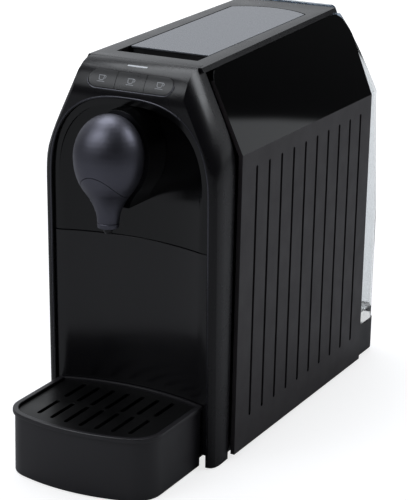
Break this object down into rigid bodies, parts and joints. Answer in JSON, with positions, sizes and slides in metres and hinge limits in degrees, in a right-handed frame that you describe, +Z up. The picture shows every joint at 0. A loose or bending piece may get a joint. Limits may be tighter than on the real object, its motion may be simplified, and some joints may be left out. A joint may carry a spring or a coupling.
{
  "type": "pod coffee machine",
  "caption": "Narrow countertop pod coffee machine with a recessed arch front, round spout, removable drip tray, lift-up lever lid and clear rear water tank.",
  "frame": {"origin": "centre of the footprint on the table, at the bottom of the rubber feet", "axes": "+Z up, +Y towards the water tank at the rear, so the cup side faces -Y, +X to the right seen from the front"},
  "size_m": [0.138, 0.366, 0.2779],
  "materials": {
    "frame_black": "satin",
    "panel_grey": "satin",
    "recess_black": "gloss",
    "spout_grey": "satin",
    "lid_metal": "satin",
    "key_black": "gloss",
    "sign_grey": "satin",
    "light_white": "gloss",
    "inner_plastic": "matte",
    "natural_plastic": "satin",
    "rubber_black": "matte",
    "seal_red": "matte",
    "hose_clear": "satin",
    "steel": "brushed",
    "aluminium": "cast",
    "board_green": "satin",
    "clear_tank": "clear",
    "smoke_plastic": "gloss",
    "switch_red": "gloss"
  },
  "bodies": {
    "housing": {"base_pan": "inner_plastic", "rubber_feet": "rubber_black", "chassis": "inner_plastic", "rear_cover": "frame_black", "side_panel_left": "panel_grey", "side_panel_right": "panel_grey", "front_frame": "frame_black", "recess_panel": "recess_black", "spout_collar": "recess_black", "spout_cover": "spout_grey", "spout_funnel": "spout_grey", "coffee_outlet": "inner_plastic", "status_light": "light_white", "button_bracket": "inner_plastic", "control_board": "board_green", "button_switches": "inner_plastic", "lever_pin": "steel", "gear_shaft": "steel", "brew_housing": "inner_plastic", "capsule_chute": "inner_plastic", "water_inlet_tube": "steel", "heater_block": "aluminium", "thermostat": "inner_plastic", "brew_hose": "hose_clear", "pump_body": "natural_plastic", "pump_mounts": "rubber_black", "pump_hose": "hose_clear", "flow_meter": "inner_plastic", "suction_hose": "hose_clear", "dock_seal": "seal_red", "power_board": "board_green", "switch_frame": "inner_plastic", "cord_gland": "rubber_black", "base_screws": "steel"},
    "lever": {"lever": "inner_plastic", "lever_plate": "lid_metal"},
    "gear": {"drive_gear": "natural_plastic"},
    "piston": {"piston_rack": "natural_plastic", "brew_piston": "inner_plastic", "piston_seal": "seal_red"},
    "key_small": {"button_small": "key_black", "icon_small": "sign_grey"},
    "key_medium": {"button_medium": "key_black", "icon_medium": "sign_grey"},
    "key_large": {"button_large": "key_black", "icon_large": "sign_grey"},
    "drawer": {"drawer_front": "frame_black", "drawer_sled": "inner_plastic", "drip_tray": "frame_black", "capsule_bin": "inner_plastic"},
    "grid": {"cup_grid": "inner_plastic"},
    "tank": {"water_tank": "clear_tank"},
    "lid": {"tank_lid": "smoke_plastic"},
    "valve": {"tank_valve": "inner_plastic"},
    "rocker": {"power_switch": "switch_red"},
    "plunger": {"pump_plunger": "steel"},
    "rotor": {"flow_rotor": "natural_plastic"}
  },
  "joints": [
    {"name": "lever_hinge", "type": "hinge", "parent": "housing", "child": "lever", "pos_m": [0, 0.118, 0.2687], "axis": [-1, 0, 0], "range_deg": [0, 70]},
    {"name": "gear_spin", "type": "hinge", "parent": "housing", "child": "gear", "pos_m": [0, 0.10797, 0.2567], "axis": [1, 0, 0], "range_deg": [0, 96]},
    {"name": "piston_slide", "type": "slide", "parent": "housing", "child": "piston", "axis": [0, 1, 0], "range_m": [0, 0.0151]},
    {"name": "key_small_press", "type": "slide", "parent": "housing", "child": "key_small", "axis": [0, 0.829, -0.5592], "range_m": [0, 0.0008], "stiffness_N_per_m": 400, "springref_m": -0.001},
    {"name": "key_medium_press", "type": "slide", "parent": "housing", "child": "key_medium", "axis": [0, 0.829, -0.5592], "range_m": [0, 0.0008], "stiffness_N_per_m": 400, "springref_m": -0.001},
    {"name": "key_large_press", "type": "slide", "parent": "housing", "child": "key_large", "axis": [0, 0.829, -0.5592], "range_m": [0, 0.0008], "stiffness_N_per_m": 400, "springref_m": -0.001},
    {"name": "drawer_slide", "type": "slide", "parent": "housing", "child": "drawer", "axis": [0, -1, 0], "range_m": [0, 0.11]},
    {"name": "grid_lift", "type": "slide", "parent": "drawer", "child": "grid", "axis": [0, 0, 1], "range_m": [0, 0.03]},
    {"name": "tank_lift", "type": "slide", "parent": "housing", "child": "tank", "axis": [0, 0, 1], "range_m": [0, 0.06]},
    {"name": "tank_lid_lift", "type": "slide", "parent": "tank", "child": "lid", "axis": [0, 0, 1], "range_m": [0, 0.03]},
    {"name": "tank_valve_lift", "type": "slide", "parent": "tank", "child": "valve", "axis": [0, 0, 1], "range_m": [0, 0.002], "stiffness_N_per_m": 60, "springref_m": -0.003},
    {"name": "power_switch_tilt", "type": "hinge", "parent": "housing", "child": "rocker", "pos_m": [-0.038, 0.178, 0.01575], "axis": [0, 0, 1], "range_deg": [0, 16]},
    {"name": "pump_plunger_stroke", "type": "slide", "parent": "housing", "child": "plunger", "axis": [0, 1, 0], "range_m": [-0.004, 0.004], "stiffness_N_per_m": 500},
    {"name": "flow_rotor_spin", "type": "hinge", "parent": "housing", "child": "rotor", "pos_m": [0, 0.0955, 0.0125], "axis": [0, 0, 1], "continuous": true}
  ],
  "couplings": [
    {"joint": "gear_spin", "follows": "lever_hinge", "ratio": 1.3636},
    {"joint": "piston_slide", "follows": "lever_hinge", "m_per_rad": 0.012273}
  ]
}
